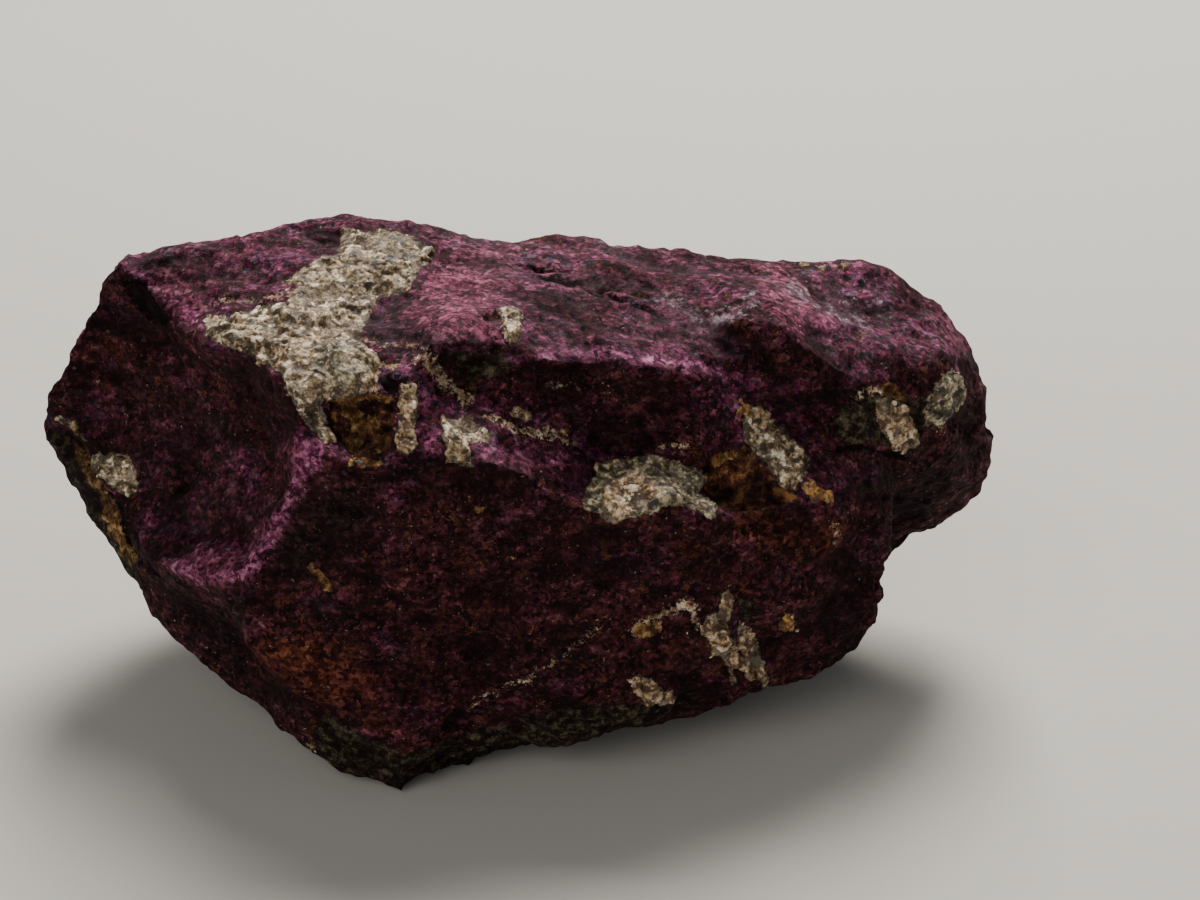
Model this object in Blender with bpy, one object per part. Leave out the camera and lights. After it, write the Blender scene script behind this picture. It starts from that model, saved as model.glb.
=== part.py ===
"""A rough lump of purpurite as it was broken from the rock, 64 mm long.

The stone is one solid. It is a closed cage of break faces that meet at named
corners. Each face is refined to small triangles, drawn taut between its rims,
bulged or scooped, and roughened. Grown-in grains stand out of it as lumps, and
weathered pockets are sunk into it.
"""
import bmesh
import bpy
import numpy as np
from mathutils import Vector, noise

for old in list(bpy.data.objects):
    bpy.data.objects.remove(old)

MM = 0.001

# Driving dimensions in millimetres.
FACET = 1.42          # side of a triangle on the plain break faces
FACET_FINE = 0.95     # the same beside a lump, a pit or a crack
LUMP_REACH = 0.6      # how far past a lump or a crack the fine triangles go
CRACK_REACH = 0.8
REFINE_PASSES = 7
TAUT_PASSES = 60      # rounds that draw a face taut between its rims
BULGE_PASSES = 500    # rounds that spread a bulge from the rim to the middle
RIM_ROUNDING = 3      # rounds that take the straight runs out of a rim
RIM_PULL = 0.2        # how far a round moves a rim point to each of its neighbours
LUMP_FALLOFF = 1.2    # power of a lump's slope
EDGE_WEAR = 0.25      # how far each point moves to its neighbours' middle at last
SKIN = 0.2            # growth that makes up for what the wear takes off the edges
LUMP_SIZE = 8.5       # roughness, from coarse to fine
LUMP_HEIGHT = 0.75
CHIP_SIZE = 5.2       # small flat breaks, each tilted its own way
CHIP_TILT = 0.85
CHIP_SEAM = 0.001     # how soon one chip's plane gives way to the next, as a share of a chip
CHIP_SPREAD = 5.3     # keeps the tilts of neighbouring chips apart
SLAB_SIZE = 11.0      # large flat breaks of the back, each tilted its own way
SLAB_TILT = 2.6
SLAB_SEAM = 0.22
SLAB_FROM = 10.5      # they start at this y, behind the crest, and are full behind the second one
SLAB_FULL = 14.5
GRIT_SIZE = 1.9
GRIT_HEIGHT = 0.3
STEP_PITCH = 4.6      # cleavage steps across the top
STEP_HEIGHT = 0.4
STEP_RUN = (0.22, 0.8, -0.3)   # the way the steps follow one another
STEP_WANDER = 1.1
STEP_WANDER_SIZE = 9.0
STEP_SLOPE = 0.78     # share of a step that rises; the rest drops
REST_CLEARANCE = 0.25  # least height of any point outside the flat spot
NOISE_SHIFT = Vector((31.7, 12.9, 47.3))

CORNERS = {
    # the skyline from the left tip over the horn and along the crest
    "tip": (-32.5, 5.5, 17.5),
    "tip_up": (-31.5, 5, 20),
    "brim_a": (-30, 4.5, 23),
    "brim_b": (-28.5, 5.5, 25.5),
    "brim_c": (-27.5, 6, 27),
    "horn": (-26, 6, 29),
    "cr_a": (-22.5, 7, 29),
    "cr_b": (-19.5, 7.5, 29.5),
    "cr_c": (-15.5, 7.5, 31),
    "cr_d": (-13.5, 9, 31),
    "cr_e": (-10.5, 9, 30.5),
    "cr_f": (-8, 8.5, 30.5),
    "cr_g": (-5.5, 9, 29.5),
    "cr_h": (0, 8.5, 29),
    "cr_i": (5, 9.5, 29),
    "cr_j": (10.5, 10, 28),
    "cr_k": (17, 9.5, 28),
    "cr_l": (23.5, 9, 27.5),
    # the round lobe at the right rear
    "lobe_a": (26, 9.5, 26.5),
    "lobe_b": (27.5, 9, 25.5),
    "lobe_c": (29, 9, 23.5),
    "lobe_d": (31, 9, 21),
    "lobe_e": (32, 8, 18.5),
    "lobe_f": (32, 7, 15.5),
    "lobe_g": (31.5, 7, 12.5),
    "lobe_h": (30.5, 7, 10.5),
    "lobe_i": (29, 6.5, 8.5),
    "lobe_j": (27.5, 6, 7.5),
    "lobe_k": (26, 6, 7),
    # the right end of the front block and the notch behind it
    "end_a": (23, -4, 17.5),
    "end_b": (23.5, -4.5, 15),
    "end_c": (24, -4.5, 12.5),
    "end_d": (23.5, -5.5, 11),
    "end_e": (23, -6, 9),
    "end_f": (22, -6, 7),
    "end_g": (20, -7, 6),
    "end_h": (18, -7.5, 5),
    "end_i": (15.5, -8, 5),
    "notch_a": (24, 0, 17),
    "notch_b": (24.5, 3, 12),
    "under_end": (20.5, 2, 3.5),
    # the lowest edge in front, up to the toe that nearly touches the table
    "hem_a": (11.5, -8.5, 3.5),
    "hem_b": (8.5, -8.5, 3),
    "hem_c": (5, -9.5, 3),
    "hem_d": (2.5, -9.5, 2),
    "hem_e": (-1.5, -10, 1),
    "hem_f": (-5, -11.5, 0.5),
    "toe": (-7.5, -12.5, 0.5),
    "hem_g": (-10, -12, 1),
    "hem_h": (-12.5, -10.5, 1),
    "hem_i": (-13.5, -10, 2.5),
    "keel_a": (-18, -6.5, 3),
    "keel_b": (-21.5, -4.5, 5.5),
    "keel_c": (-25, -1.5, 7.5),
    "keel_d": (-27, 1.5, 9),
    "keel_e": (-29, 2.5, 11),
    "keel_f": (-30.5, 4.5, 13),
    "keel_g": (-31.5, 4, 15.5),
    # the lip round the scoop in the left end
    "lip_a": (-24, 3.5, 27.5),
    "lip_b": (-22.5, 2, 26.5),
    "lip_c": (-19, -2, 26.5),
    "lip_d": (-16.5, -4, 27),
    "lip_e": (-14, -7, 26.5),
    "lip_f": (-13, -9, 25),
    "lip_g": (-13, -9.5, 23),
    "lip_h": (-14, -9.5, 20),
    "lip_i": (-15.5, -10, 17),
    "lip_j": (-17, -10, 15),
    "lip_k": (-20, -8, 13.5),
    "lip_l": (-23, -5, 12.5),
    "lip_m": (-25, -2.5, 12.5),
    "lip_n": (-26, 0, 14),
    "lip_o": (-28, 1.5, 15.5),
    "lip_p": (-29.5, 3.5, 17),
    "lip_q": (-31, 4.5, 18),
    # the foot of the front face, above the bevel
    "foot_a": (-17, -11, 13.5),
    "foot_b": (-17, -11.5, 11.5),
    "foot_c": (-16, -11, 9),
    "foot_d": (-13.5, -12, 7.5),
    "foot_e": (-11, -12.5, 6.5),
    "foot_f": (-7.5, -13.5, 4.5),
    "foot_g": (-5, -13, 5),
    "foot_h": (-2.5, -12.5, 6),
    "foot_i": (2.5, -12.5, 7),
    "foot_j": (6.5, -12, 7),
    "foot_k": (11.5, -10, 6),
    "foot_l": (15.5, -9, 6.5),
    "flare_a": (-11.5, -12, 11.5),
    "flare_b": (-7.5, -12.5, 8),
    "belly": (11, -11, 12.5),
    # the brow between the front face and the shelf
    "brow_a": (-11, -11, 23.5),
    "brow_b": (-8, -11, 23),
    "brow_c": (-5, -11, 23),
    "brow_d": (-2, -10.5, 23),
    "brow_e": (1, -10.5, 22),
    "brow_f": (4.5, -11, 20.5),
    "brow_g": (7.5, -10.5, 19),
    "brow_h": (11, -10, 19),
    "brow_i": (13.5, -9, 19),
    "brow_j": (17, -7.5, 18),
    "brow_k": (20, -5.5, 18),
    # the foot of the wall at the back of the shelf
    "wall_a": (-7, -8, 26.5),
    "wall_b": (-4.5, -7, 25.5),
    "wall_c": (-2.5, -6, 24),
    "wall_d": (2.5, -6, 23),
    "wall_e": (5, -6, 21.5),
    "wall_f": (10.5, -6.5, 21.5),
    "wall_g": (13, -5, 21),
    # the ledge above the wall and the shoulder that goes on to the right
    "ledge_a": (-5, -6.5, 29),
    "ledge_b": (-3, -5, 28),
    "ledge_c": (-1, -5.5, 28.5),
    "ledge_d": (0.5, -5.5, 27.5),
    "ledge_e": (5, -5.5, 27),
    "ledge_f": (9, -4.5, 26.5),
    "ledge_g": (11, -4.5, 25.5),
    "shoulder_a": (10, -1, 28),
    "shoulder_b": (13.5, -0.5, 27.5),
    "shoulder_c": (15.5, -1, 27.5),
    "shoulder_d": (17.5, -2, 27),
    "shoulder_e": (20, -2, 25),
    "shoulder_f": (22, -1.5, 24),
    "shoulder_g": (25.5, 1.5, 23.5),
    "shoulder_h": (28.5, 4, 23.5),
    # the back, from below the crest down to the belt and the underside
    "back_a": (-25, 12, 25.5),
    "back_b": (-11, 14.5, 26.5),
    "back_c": (6, 14.5, 24.5),
    "back_e": (26, 14, 21),
    "belt_a": (-30.5, 11, 15.5),
    "belt_b": (-23, 16.5, 14),
    "belt_c": (-12, 18.5, 14),
    "belt_d": (3, 18.5, 12),
    "belt_e": (14, 17, 14.5),
    "belt_f": (24.5, 15.5, 12.5),
    "belt_g": (30.5, 12, 13.5),
    "under_a": (-27, 8.5, 8.5),
    "under_b": (-20, 12.5, 5),
    "under_c": (-8, 15, 4),
    "under_d": (5, 15, 5.5),
    "under_e": (17, 12, 5),
    "under_f": (25, 10, 7.5),
    # the flat spot that it rests on
    "rest_a": (-9.5, -9.5, 0),
    "rest_b": (-5.5, -9, 0),
    "rest_c": (3, -4, 0),
    "rest_d": (9.5, -1, 0),
    "rest_e": (12, 3.5, 0),
    "rest_f": (8, 8, 0),
    "rest_g": (1, 9.5, 0),
    "rest_h": (-6.5, 8, 0),
    "rest_i": (-12, 3, 0),
    "rest_j": (-12.5, -4, 0),
}

# Each break face: how far its middle stands out in millimetres, and its rim.
BREAKS = [
    # the scoop in the left end
    (-2.8, "horn lip_a lip_b lip_c lip_d lip_e lip_f lip_g lip_h lip_i lip_j lip_k lip_l lip_m "
           "lip_n lip_o lip_p lip_q tip tip_up brim_a brim_b brim_c"),
    # the strip outside the crevice at the left
    (0.5, "tip lip_q lip_p lip_o lip_n lip_m keel_c keel_d keel_e keel_f keel_g"),
    # the undercut below the lip
    (-1.2, "lip_m lip_l lip_k lip_j foot_a foot_b foot_c foot_d hem_i keel_a keel_b keel_c"),
    # the bevels below the front face
    (0.3, "foot_d foot_e foot_f toe hem_g hem_h hem_i"),
    (0.4, "foot_f foot_g foot_h foot_i foot_j foot_k foot_l end_i hem_a hem_b hem_c hem_d "
          "hem_e hem_f toe"),
    # the front face, its flared lower corner and its right end
    (0.6, "lip_g brow_a brow_b brow_c brow_d brow_e brow_f brow_g brow_h belly foot_k foot_j "
          "foot_i foot_h foot_g foot_f flare_b flare_a foot_a lip_j lip_i lip_h"),
    (0.2, "foot_a flare_a flare_b foot_f foot_e foot_d foot_c foot_b"),
    (0.7, "brow_h brow_i brow_j brow_k end_a end_b end_c end_d end_e end_f end_g end_h end_i "
          "foot_l foot_k belly"),
    # the shelf, the wall behind it and the face right of them
    (-0.3, "wall_a wall_b wall_c wall_d wall_e wall_f wall_g brow_i brow_h brow_g brow_f "
           "brow_e brow_d brow_c brow_b"),
    (-0.6, "ledge_a ledge_b ledge_c ledge_d ledge_e ledge_f ledge_g wall_g wall_f wall_e "
           "wall_d wall_c wall_b wall_a"),
    (-0.5, "ledge_g shoulder_a shoulder_b shoulder_c shoulder_d shoulder_e shoulder_f notch_a "
           "end_a brow_k brow_j brow_i wall_g"),
    # the front of the lobe and the end of the block in front of the notch
    (2.0, "shoulder_f shoulder_g shoulder_h lobe_d lobe_e lobe_f lobe_g lobe_h lobe_i lobe_j "
          "lobe_k notch_b notch_a"),
    (0.3, "end_a notch_a notch_b lobe_k under_end end_f end_e end_d end_c end_b"),
    # the top, left and right of the ledge's start
    (0.5, "horn cr_a cr_b cr_c cr_d cr_e cr_f cr_g ledge_a wall_a brow_b brow_a lip_g lip_f "
          "lip_e lip_d lip_c lip_b lip_a"),
    (0.6, "cr_g cr_h cr_i cr_j cr_k cr_l lobe_a lobe_b lobe_c lobe_d shoulder_h shoulder_g "
          "shoulder_f shoulder_e shoulder_d shoulder_c shoulder_b shoulder_a ledge_g ledge_f "
          "ledge_e ledge_d ledge_c ledge_b ledge_a"),
    # the back above the belt
    (0.4, "tip tip_up brim_a brim_b brim_c horn back_a belt_b belt_a"),
    (-0.9, "horn cr_a cr_b cr_c cr_d cr_e back_b belt_c belt_b back_a"),
    (0.3, "cr_e cr_f cr_g cr_h cr_i cr_j back_c back_b"),
    (0.8, "cr_j cr_k cr_l lobe_a lobe_b lobe_c back_e belt_f back_c"),
    (-0.6, "back_b back_c belt_d belt_c"),
    (0.5, "back_c belt_f belt_e belt_d"),
    (0.6, "lobe_c lobe_d lobe_e lobe_f belt_g belt_f back_e"),
    # the back below the belt
    (0.3, "tip belt_a under_a keel_d keel_e keel_f keel_g"),
    (0.5, "belt_a belt_b under_b under_a"),
    (-0.5, "belt_b belt_c under_c under_b"),
    (0.4, "belt_c belt_d under_d under_c"),
    (-0.4, "belt_d belt_e under_e under_d"),
    (0.4, "belt_e belt_f belt_g under_f under_e"),
    (0.6, "belt_g lobe_f lobe_g lobe_h lobe_i lobe_j lobe_k under_f"),
    # the underside round the flat spot
    (0.0, "toe hem_g hem_h hem_i rest_a rest_b"),
    (-0.6, "hem_i keel_a keel_b keel_c keel_d under_a rest_i rest_j rest_a"),
    (0.0, "under_a under_b under_c rest_h rest_i"),
    (0.0, "under_c under_d rest_g rest_h"),
    (0.0, "under_d under_e rest_f rest_g"),
    (-0.4, "under_e under_f lobe_k under_end rest_e rest_f"),
    (-0.4, "under_end end_f end_g end_h end_i hem_a rest_d rest_e"),
    (-0.3, "hem_a hem_b hem_c hem_d hem_e hem_f toe rest_b rest_c rest_d"),
    (0.0, "rest_a rest_b rest_c rest_d rest_e rest_f rest_g rest_h rest_i rest_j"),
]
REST_BREAK = len(BREAKS) - 1

# Lumps and pits: middle, half sizes along x, y and z, and height (a pit is negative).
LUMPS = [
    # the band of quartz and mica over the top left
    ((-10.5, 4.5, 30), (3.6, 4.5, 3), 0.5),
    ((-14, 0, 28.5), (3.6, 4, 3), 0.55),
    ((-17.5, -2, 27.2), (3.2, 2.6, 2.5), 0.5),
    ((-12, -5.5, 27), (2.8, 3.4, 3), 0.45),
    # the rust pocket below it and the hole above the pocket
    ((-9.5, -9.5, 24.8), (2.8, 2.2, 2), -0.9),
    ((-8.6, -6.5, 26.8), (1.1, 1.4, 1.4), -1.3),
    # the grains in the shelf
    ((-2.6, -8.5, 23.8), (2, 2, 1.8), 0.5),
    ((8, -9.5, 20), (4.4, 2.6, 2.2), 1.1),
    ((15.5, -5.5, 20.2), (2.6, 2.4, 2.8), 0.8),
    ((12.8, -7.6, 20), (1.9, 2.4, 2), -1.1),
    # the olive cluster on the right
    ((19.5, -2.5, 21.5), (2.6, 2.2, 1.8), -0.5),
    ((23, -0.5, 21.2), (2, 2, 2.2), 0.5),
    ((27.5, 3, 21), (1.8, 2, 2), 0.4),
    # the cream vein low on the front
    ((12, -11, 11), (1.5, 2, 3), 0.45),
    # the recess behind the ledge's left end
    ((-2.5, -4.5, 25.6), (2.6, 2, 1.6), -0.8),
    # the hollow under the horn
    ((-24.3, 2.2, 26), (1.6, 1.8, 1.6), -0.8),
]

# Cracks: two ends, half width and depth.
CRACKS = [
    ((-0.5, 5.5, 28.9), (3, 4.5, 28.7), 0.7, 0.9),
    ((3, 4.5, 28.7), (9, 1, 28.2), 0.6, 0.4),
]

# Places, besides lumps and cracks, that get fine triangles: middle and reach.
FINE_PLACES = [
    ((3, -5.3, 27), 4),
    ((-2, -5.5, 27), 4),
    ((-15, -9.5, 17.5), 4),
    ((-14, -8, 25), 3.5),
]


def as_array(bm):
    return np.array([v.co[:] for v in bm.verts])


def near_detail(point):
    for middle, half, _ in LUMPS:
        reach = max(half) + LUMP_REACH
        if (point - Vector(middle)).length < reach:
            return True
    for first, last, width, _ in CRACKS:
        start = Vector(first)
        run = Vector(last) - start
        along = max(0.0, min(1.0, (point - start).dot(run) / run.length_squared))
        if (point - start - run * along).length < width + CRACK_REACH:
            return True
    return any((point - Vector(middle)).length < reach for middle, reach in FINE_PLACES)


def build_cage():
    bm = bmesh.new()
    face_break = bm.faces.layers.int.new("break")
    corner = {name: bm.verts.new(place) for name, place in CORNERS.items()}
    for number, (_, rim) in enumerate(BREAKS):
        face = bm.faces.new([corner[name] for name in rim.split()])
        face[face_break] = number
    bmesh.ops.recalc_face_normals(bm, faces=bm.faces)
    for edge in bm.edges:
        edge.seam = True
    bmesh.ops.triangulate(bm, faces=bm.faces, ngon_method="EAR_CLIP")
    return bm


def neighbour_table(bm):
    """For each point, its neighbours' indices padded with itself, and how many there are."""
    bm.verts.ensure_lookup_table()
    bm.verts.index_update()
    lists = [[e.other_vert(v).index for e in v.link_edges] for v in bm.verts]
    widest = max(len(row) for row in lists)
    table = np.array([row + [i] * (widest - len(row)) for i, row in enumerate(lists)])
    counts = np.array([len(row) for row in lists])
    return table, counts


def neighbour_mean(values, table, counts):
    own = values.reshape(len(values), -1)
    total = own[table].sum(axis=1) - own * (table.shape[1] - counts)[:, None]
    return (total / counts[:, None]).reshape(values.shape)


def set_points(bm, points):
    for vert, place in zip(bm.verts, points):
        vert.co = place


def draw_taut(bm, passes):
    """Draws each break face taut like a film between its rims, which stay."""
    table, counts = neighbour_table(bm)
    on_rim = np.array([any(e.seam for e in v.link_edges) for v in bm.verts])
    points = as_array(bm)
    for _ in range(passes):
        points = np.where(on_rim[:, None], points, neighbour_mean(points, table, counts))
    set_points(bm, points)


def refine(bm):
    for _ in range(REFINE_PASSES):
        long_edges = []
        for edge in bm.edges:
            middle = (edge.verts[0].co + edge.verts[1].co) / 2
            limit = FACET_FINE if near_detail(middle) else FACET
            if edge.calc_length() > limit * 1.33:
                long_edges.append(edge)
        if not long_edges:
            break
        bmesh.ops.subdivide_edges(bm, edges=long_edges, cuts=1)
        bmesh.ops.triangulate(bm, faces=bm.faces, ngon_method="BEAUTY")
        inner = [e for e in bm.edges if not e.seam]
        bmesh.ops.beautify_fill(bm, faces=bm.faces, edges=inner, method="ANGLE")
        draw_taut(bm, TAUT_PASSES)


def round_rims(bm):
    """Takes the straight runs out of the rims: a rim point moves to its rim neighbours' middle."""
    for _ in range(RIM_ROUNDING):
        moved = {}
        for vert in bm.verts:
            rims = [e.other_vert(vert).co for e in vert.link_edges if e.seam]
            if len(rims) == 2:
                moved[vert] = vert.co.lerp((rims[0] + rims[1]) / 2, 2 * RIM_PULL)
        for vert, place in moved.items():
            vert.co = place


def bulge(bm):
    """Pushes the middle of each break face out or in; the rim stays."""
    face_break = bm.faces.layers.int["break"]
    table, counts = neighbour_table(bm)
    on_rim = np.array([any(e.seam for e in v.link_edges) for v in bm.verts])
    swell = np.zeros(len(on_rim))
    for _ in range(BULGE_PASSES):
        swell = np.where(on_rim, 0.0, neighbour_mean(swell, table, counts) + 1.0)
    outward = [Vector((0, 0, 0)) for _ in BREAKS]
    highest = [1.0] * len(BREAKS)
    owner = {}
    for face in bm.faces:
        number = face[face_break]
        outward[number] += face.normal * face.calc_area()
        for vert in face.verts:
            if not on_rim[vert.index]:
                owner[vert] = number
                highest[number] = max(highest[number], swell[vert.index])
    for vert, number in owner.items():
        share = swell[vert.index] / highest[number]
        vert.co += outward[number].normalized() * (BREAKS[number][0] * share)


def add_lumps_and_cracks(bm):
    bm.normal_update()
    moves = []
    for vert in bm.verts:
        rise = 0.0
        for middle, half, height in LUMPS:
            away = [(a - b) / h for a, b, h in zip(vert.co, middle, half)]
            square = sum(a * a for a in away)
            if square < 1:
                rise += height * (1 - square) ** LUMP_FALLOFF
        for first, last, width, depth in CRACKS:
            start = Vector(first)
            run = Vector(last) - start
            along = max(0.0, min(1.0, (vert.co - start).dot(run) / run.length_squared))
            gap = (vert.co - start - run * along).length
            if gap < width:
                rise -= depth * (1 - gap / width)
        moves.append(vert.normal * rise)
    for vert, move in zip(bm.verts, moves):
        vert.co += move


def cleavage_step(place, normal):
    """A saw-tooth rise across the top: long slopes that end in small drops."""
    wander = noise.noise(place / STEP_WANDER_SIZE + NOISE_SHIFT) * STEP_WANDER
    share = place.dot(Vector(STEP_RUN)) / STEP_PITCH + wander
    share -= np.floor(share)
    slope = share / STEP_SLOPE if share < STEP_SLOPE else (1 - share) / (1 - STEP_SLOPE)
    return STEP_HEIGHT * (slope - 0.5) * max(0.0, normal.z) ** 2


def flat_breaks(place, size, tilt, seam):
    """Flat breaks: each cell of the stone is cut along a plane of its own tilt."""
    scaled = place / size
    gaps, seeds = noise.voronoi(scaled)
    planes = [noise.noise_vector(seed * CHIP_SPREAD).dot(scaled - seed) for seed in seeds[:2]]
    own = 0.5 + 0.5 * min(1.0, (gaps[1] - gaps[0]) / seam)
    return tilt * (planes[0] * own + planes[1] * (1 - own))


def roughen(bm):
    bm.normal_update()
    moves = []
    for vert in bm.verts:
        place = vert.co + NOISE_SHIFT
        rise = SKIN + LUMP_HEIGHT * noise.noise(place / LUMP_SIZE)
        rise += flat_breaks(place, CHIP_SIZE, CHIP_TILT, CHIP_SEAM)
        behind = (vert.co.y - SLAB_FROM) / (SLAB_FULL - SLAB_FROM)
        slab = flat_breaks(place, SLAB_SIZE, SLAB_TILT, SLAB_SEAM)
        rise += slab * max(0.0, min(1.0, behind))
        rise += GRIT_HEIGHT * noise.noise(place / GRIT_SIZE)
        rise += cleavage_step(vert.co, vert.normal)
        moves.append(vert.normal * rise)
    for vert, move in zip(bm.verts, moves):
        vert.co += move


def wear_edges(bm):
    table, counts = neighbour_table(bm)
    points = as_array(bm)
    set_points(bm, points + (neighbour_mean(points, table, counts) - points) * EDGE_WEAR)


def flatten_rest(bm):
    """The flat spot lies at height 0 and all else stays just above it."""
    face_break = bm.faces.layers.int["break"]
    flat = {v for f in bm.faces if f[face_break] == REST_BREAK for v in f.verts}
    for vert in bm.verts:
        vert.co.z = 0.0 if vert in flat else max(vert.co.z, REST_CLEARANCE)


def centre(bm):
    points = as_array(bm)
    middle = (points.min(axis=0) + points.max(axis=0)) / 2
    for vert in bm.verts:
        vert.co.x -= middle[0]
        vert.co.y -= middle[1]


def make_stone():
    bm = build_cage()
    refine(bm)
    round_rims(bm)
    draw_taut(bm, TAUT_PASSES)
    bulge(bm)
    add_lumps_and_cracks(bm)
    roughen(bm)
    wear_edges(bm)
    flatten_rest(bm)
    centre(bm)
    bmesh.ops.scale(bm, vec=(MM, MM, MM), verts=bm.verts)
    for edge in bm.edges:
        edge.seam = False
    mesh = bpy.data.meshes.new("purpurite_stone")
    bm.to_mesh(mesh)
    bm.free()
    stone = bpy.data.objects.new("purpurite_stone", mesh)
    bpy.context.scene.collection.objects.link(stone)
    paint = bpy.data.materials.new("purpurite")
    paint.use_nodes = True
    shader = paint.node_tree.nodes["Principled BSDF"]
    shader.inputs["Base Color"].default_value = (0.075, 0.013, 0.05, 1)
    shader.inputs["Roughness"].default_value = 0.7
    shader.inputs["Metallic"].default_value = 0.0
    mesh.materials.append(paint)
    return stone


make_stone()
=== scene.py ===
"""The looks of a rough purpurite specimen: its fine broken surface, its grown-in grains and its colours."""
import math

import bmesh
import bpy
import numpy as np
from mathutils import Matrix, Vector, noise


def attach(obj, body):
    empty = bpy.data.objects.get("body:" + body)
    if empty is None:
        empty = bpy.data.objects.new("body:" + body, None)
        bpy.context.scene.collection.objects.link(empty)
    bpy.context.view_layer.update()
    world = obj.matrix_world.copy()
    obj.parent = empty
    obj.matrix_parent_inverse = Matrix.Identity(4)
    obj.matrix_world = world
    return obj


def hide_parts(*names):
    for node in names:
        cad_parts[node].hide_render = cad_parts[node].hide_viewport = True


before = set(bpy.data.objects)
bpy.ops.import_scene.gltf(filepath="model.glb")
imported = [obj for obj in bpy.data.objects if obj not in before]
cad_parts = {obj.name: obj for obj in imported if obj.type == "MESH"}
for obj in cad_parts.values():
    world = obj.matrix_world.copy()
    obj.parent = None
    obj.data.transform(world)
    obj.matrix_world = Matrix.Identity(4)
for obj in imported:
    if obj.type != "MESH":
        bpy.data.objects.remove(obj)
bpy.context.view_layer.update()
MM = 0.001
noise.seed_set(1)        # noise_vector draws its offsets from the clock without this


def linear(code):
    """An sRGB hex colour as linear red, green, blue and alpha."""
    parts = [int(code[i:i + 2], 16) / 255 for i in (1, 3, 5)]
    return tuple(c / 12.92 if c < 0.04045 else ((c + 0.055) / 1.055) ** 2.4 for c in parts) + (1.0,)


def add(tree, kind, sockets=None, output=0, stops=(), **settings):
    """Adds a node and gives back one output. A socket's value is a number, a colour or an output to link."""
    made = tree.nodes.new("ShaderNode" + kind)
    for name, value in settings.items():
        setattr(made, name, value)
    for name, value in (sockets or {}).items():
        if isinstance(value, bpy.types.NodeSocket):
            tree.links.new(value, made.inputs[name])
        else:
            made.inputs[name].default_value = value
    for number, (position, code) in enumerate(stops):
        if number > 1:
            made.color_ramp.elements.new(position)
        made.color_ramp.elements[number].position = position
        made.color_ramp.elements[number].color = linear(code)
    return made.outputs[output]


# Camera. It looks down on the table by 28 degrees from 153 mm in front of the stone,
# with a 70 mm lens on a 36 mm frame of 1200 by 900 points.
EYE = Vector((5.31, -136.52, 89.52))
LOOK_DOWN = math.radians(28)
LENS_MM = 70.0
SENSOR_MM = 36.0
PHOTO_WIDTH = 1200
PHOTO_HEIGHT = 900
camera_data = bpy.data.cameras.new("camera")
camera_data.lens = LENS_MM
camera_data.sensor_width = SENSOR_MM
camera_data.clip_start = 0.005
camera = bpy.data.objects.new("camera", camera_data)
camera.location = EYE * MM
camera.rotation_euler = (math.pi / 2 - LOOK_DOWN, 0, 0)
bpy.context.scene.collection.objects.link(camera)
bpy.context.scene.camera = camera


def photo_points(points):
    """Where points in millimetres fall in the photograph's frame."""
    away = points - np.array(EYE)
    depth = away[:, 1] * math.cos(LOOK_DOWN) - away[:, 2] * math.sin(LOOK_DOWN)
    upward = away[:, 1] * math.sin(LOOK_DOWN) + away[:, 2] * math.cos(LOOK_DOWN)
    focal = PHOTO_WIDTH * LENS_MM / SENSOR_MM
    across = PHOTO_WIDTH / 2 + focal * away[:, 0] / depth
    return np.stack([across, PHOTO_HEIGHT / 2 - focal * upward / depth], axis=1)


def line_gap(places, line, closed):
    """Distance of each place to a line of points, in the photograph's points."""
    ends = line[1:] + (line[:1] if closed else [])
    nearest = np.full(len(places), 1e9)
    for first, last in zip(line, ends):
        start = np.array(first, float)
        run = np.array(last, float) - start
        along = np.clip((places - start) @ run / max(run @ run, 1e-9), 0, 1)
        nearest = np.minimum(nearest, np.linalg.norm(places - start - along[:, None] * run, axis=1))
    return nearest


def within(places, line):
    """True for each place inside a closed line."""
    found = np.zeros(len(places), bool)
    for (x0, y0), (x1, y1) in zip(line, line[1:] + line[:1]):
        spans = (y0 > places[:, 1]) != (y1 > places[:, 1])
        crossing = x0 + (places[:, 1] - y0) * (x1 - x0) / ((y1 - y0) or 1e-9)
        found ^= spans & (places[:, 0] < crossing)
    return found


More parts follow.
